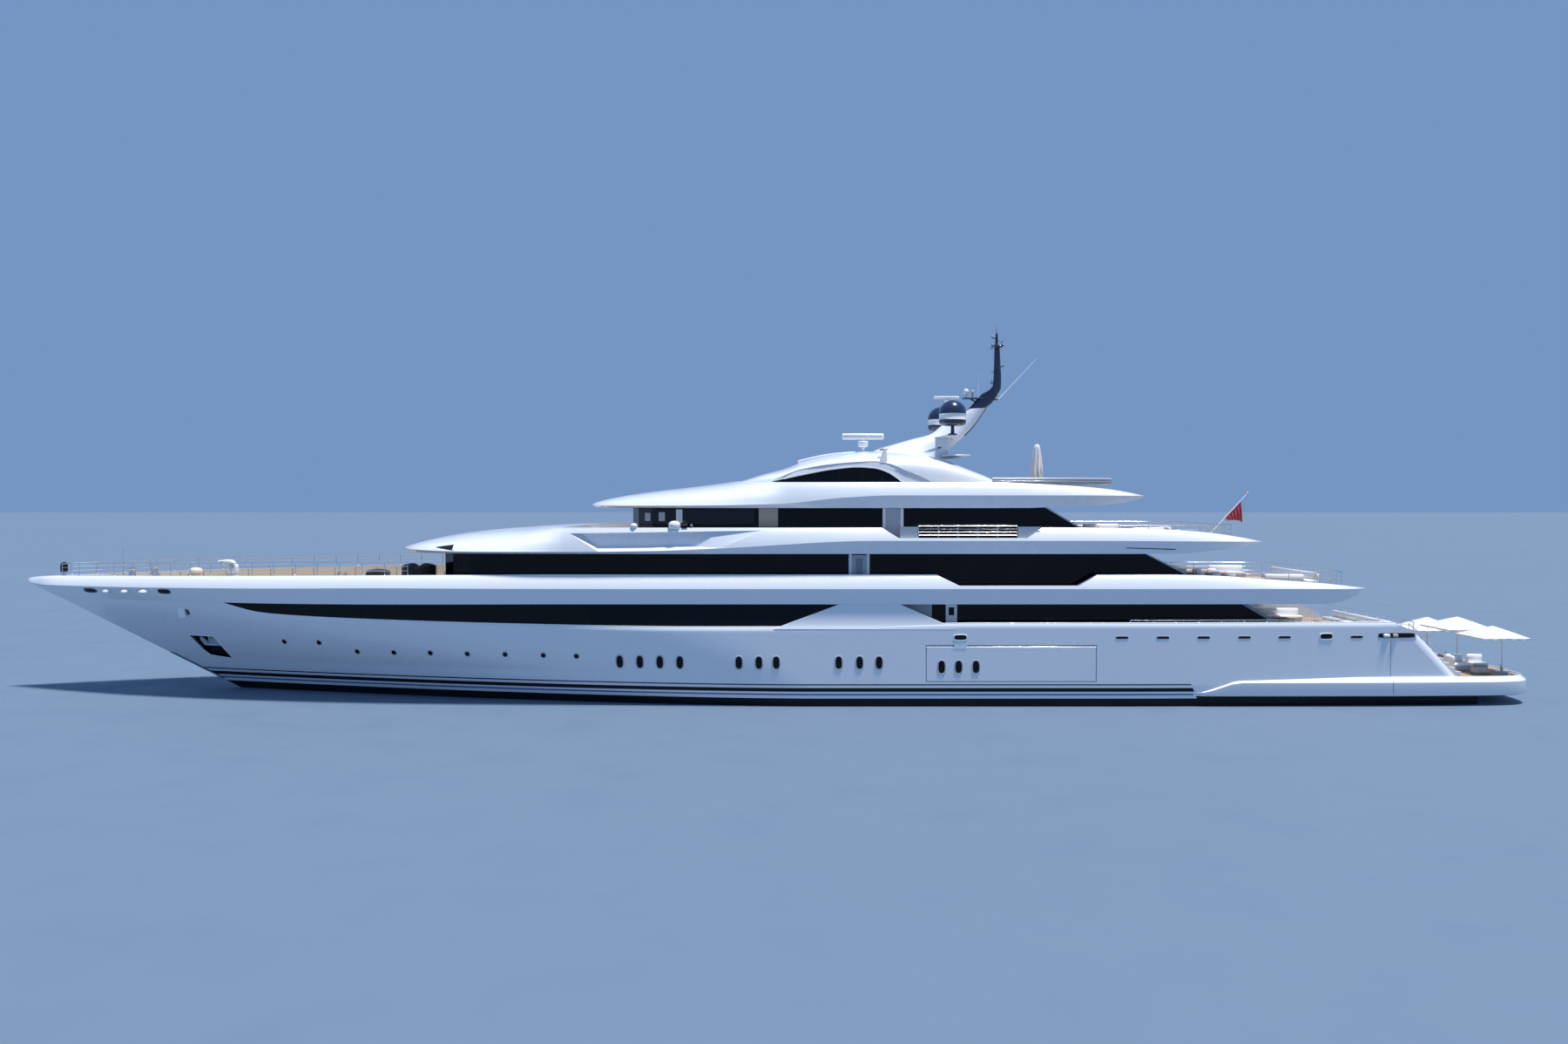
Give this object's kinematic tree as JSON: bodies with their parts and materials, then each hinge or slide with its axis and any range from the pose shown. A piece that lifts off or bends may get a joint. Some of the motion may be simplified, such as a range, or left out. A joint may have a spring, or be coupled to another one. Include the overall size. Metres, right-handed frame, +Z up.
{
  "type": "motor yacht 1:10 scale model",
  "caption": "Long white motor yacht model with a raked bow, dark glass deckhouses, a domed sun-deck house, a raked mast, side garage doors and a swim platform.",
  "frame": {"origin": "on the waterline, amidships of the overall length, on the centreline", "axes": "+X towards the bow, +Y to port, +Z up"},
  "size_m": [9.54, 1.42, 2.775],
  "materials": {
    "white_paint": "gloss white yacht paint",
    "dark_glass": "near-black reflective glass",
    "tinted_glass": "tinted clear glass",
    "navy_paint": "dark navy satin paint",
    "antifouling": "matt black bottom paint",
    "steel": "polished stainless steel",
    "bronze": "polished bronze",
    "dark_cover": "dark fitted canvas cover",
    "canvas": "white parasol canvas",
    "red_cloth": "plain red flag cloth"
  },
  "bodies": {
    "yacht": {"arch_window_port": "dark_glass", "arch_window_starboard": "dark_glass", "bridge_aft_rail": "steel", "bridge_deck_house": "dark_glass", "bridge_deck_shell": "white_paint", "davit_post": "white_paint", "deck_box_aft": "dark_cover", "deck_box_forward": "dark_cover", "ensign": "red_cloth", "ensign_staff": "white_paint", "foredeck_rail_port": "steel", "foredeck_rail_starboard": "steel", "hull": "white_paint", "main_aft_rail": "steel", "main_deck_house": "dark_glass", "mast_fin": "white_paint", "mast_radar_pedestal": "white_paint", "mast_tower": "navy_paint", "radar_pedestal": "white_paint", "rudder_stock_port": "antifouling", "rudder_stock_starboard": "antifouling", "satellite_dome_port": "navy_paint", "satellite_dome_starboard": "navy_paint", "shaft_port": "steel", "shaft_starboard": "steel", "side_wing_port": "white_paint", "side_wing_starboard": "white_paint", "stabiliser_port": "antifouling", "stabiliser_starboard": "antifouling", "stern_parasol_middle": "canvas", "stern_parasol_port": "canvas", "stern_parasol_starboard": "canvas", "stern_stairs_port": "white_paint", "stern_stairs_starboard": "white_paint", "sun_aft_rail": "steel", "sun_deck_house": "white_paint", "sun_deck_shell": "white_paint", "sun_parasol": "canvas", "swim_platform": "white_paint", "upper_aft_rail": "steel", "upper_deck_house": "dark_glass", "upper_deck_shell": "white_paint", "wheelhouse_glass": "tinted_glass", "windlass_port": "steel", "windlass_starboard": "steel"},
    "propeller_port": {"propeller_port": "bronze"},
    "rudder_port": {"rudder_port": "antifouling"},
    "garage_door_port": {"garage_door_port": "white_paint"},
    "propeller_starboard": {"propeller_starboard": "bronze"},
    "rudder_starboard": {"rudder_starboard": "antifouling"},
    "garage_door_starboard": {"garage_door_starboard": "white_paint"},
    "radar_scanner": {"radar_scanner": "white_paint"},
    "mast_radar_scanner": {"mast_radar_scanner": "white_paint"},
    "davit_arm": {"davit_arm": "white_paint"}
  },
  "joints": [
    {"name": "propeller_port_spin", "type": "hinge", "parent": "yacht", "child": "propeller_port", "pos_m": [-3.75, 0.32, -0.27], "axis": [1, 0, 0], "continuous": true},
    {"name": "rudder_port_steer", "type": "hinge", "parent": "yacht", "child": "rudder_port", "pos_m": [-3.99, 0.32, -0.26], "axis": [0, 0, 1], "range_deg": [-35, 35]},
    {"name": "garage_door_port_lift", "type": "hinge", "parent": "yacht", "child": "garage_door_port", "pos_m": [-1.6, 0.7025, 0.3575], "axis": [1, 0, 0], "range_deg": [0, 92]},
    {"name": "propeller_starboard_spin", "type": "hinge", "parent": "yacht", "child": "propeller_starboard", "pos_m": [-3.75, -0.32, -0.27], "axis": [1, 0, 0], "continuous": true},
    {"name": "rudder_starboard_steer", "type": "hinge", "parent": "yacht", "child": "rudder_starboard", "pos_m": [-3.99, -0.32, -0.26], "axis": [0, 0, 1], "range_deg": [-35, 35]},
    {"name": "garage_door_starboard_lift", "type": "hinge", "parent": "yacht", "child": "garage_door_starboard", "pos_m": [-1.6, -0.7025, 0.3575], "axis": [-1, 0, 0], "range_deg": [0, 92]},
    {"name": "radar_spin", "type": "hinge", "parent": "yacht", "child": "radar_scanner", "pos_m": [-0.76, 0, 1.65], "axis": [0, 0, 1], "continuous": true},
    {"name": "mast_radar_spin", "type": "hinge", "parent": "yacht", "child": "mast_radar_scanner", "pos_m": [-1.31, 0, 1.91], "axis": [0, 0, 1], "continuous": true},
    {"name": "davit_slew", "type": "hinge", "parent": "yacht", "child": "davit_arm", "pos_m": [3.29, 0.22, 0.8], "axis": [0, 0, 1], "range_deg": [-110, 110]}
  ]
}
